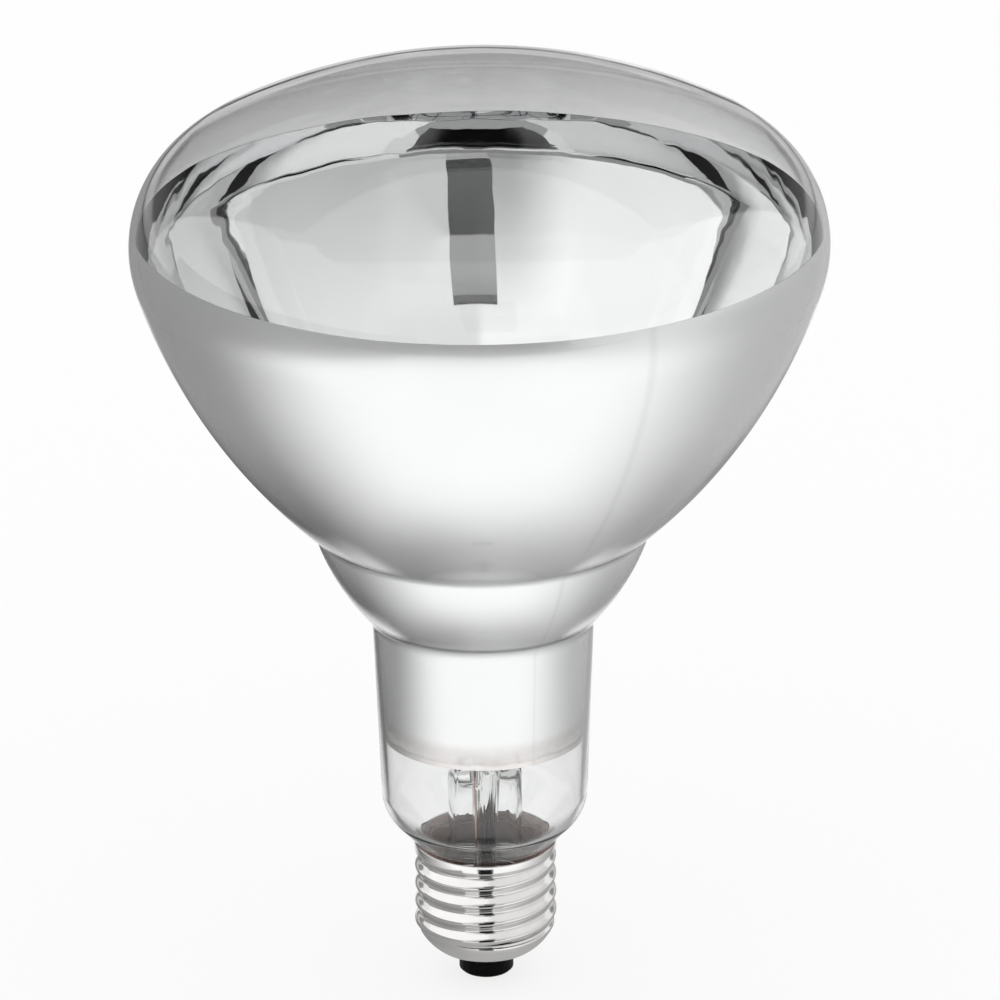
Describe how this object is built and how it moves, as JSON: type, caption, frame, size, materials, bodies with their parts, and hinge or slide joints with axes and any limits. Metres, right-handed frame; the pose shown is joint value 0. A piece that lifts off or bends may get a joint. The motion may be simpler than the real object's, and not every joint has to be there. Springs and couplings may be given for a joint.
{
  "type": "infrared heat lamp bulb",
  "caption": "Clear reflector heat lamp bulb with a domed front, a mirrored bowl, a ring filament on a glass stem and a round-threaded screw cap.",
  "frame": {"origin": "on the lamp's axis, at the foot of the solder on the centre contact", "axes": "+Z along the lamp's axis from the cap up to the dome, -Y towards the camera, +X to the right of the picture"},
  "size_m": [0.125, 0.125, 0.1759],
  "materials": {
    "clear_glass": "clear blown glass",
    "reflector": "bright metal film inside the glass",
    "stem_glass": "clear drawn glass",
    "tungsten": "dull grey coiled wire",
    "molybdenum": "drawn grey wire",
    "nickel_wire": "drawn nickel wire",
    "seal_wire": "oxidised copper-clad wire",
    "copper_wire": "drawn copper wire",
    "cap_metal": "bright rolled sheet",
    "black_glass": "opaque pressed black glass",
    "contact_brass": "stamped sheet",
    "solder": "soft solder",
    "cement": "baked basing cement"
  },
  "bodies": {
    "root": {"glass_envelope": "clear_glass", "mirror_coating": "reflector", "stem": "stem_glass", "exhaust_tube": "stem_glass", "glass_post": "stem_glass", "filament": "tungsten", "filament_hook_1": "molybdenum", "filament_hook_2": "molybdenum", "filament_hook_3": "molybdenum", "filament_hook_4": "molybdenum", "filament_hook_5": "molybdenum", "inner_lead_a": "nickel_wire", "inner_lead_b": "nickel_wire", "seal_wire_a": "seal_wire", "seal_wire_b": "seal_wire", "outer_lead_side": "copper_wire", "outer_lead_centre": "copper_wire", "screw_shell": "cap_metal", "insulator": "black_glass", "contact_plate": "contact_brass", "contact_solder": "solder", "basing_cement": "cement"}
  },
  "joints": []
}
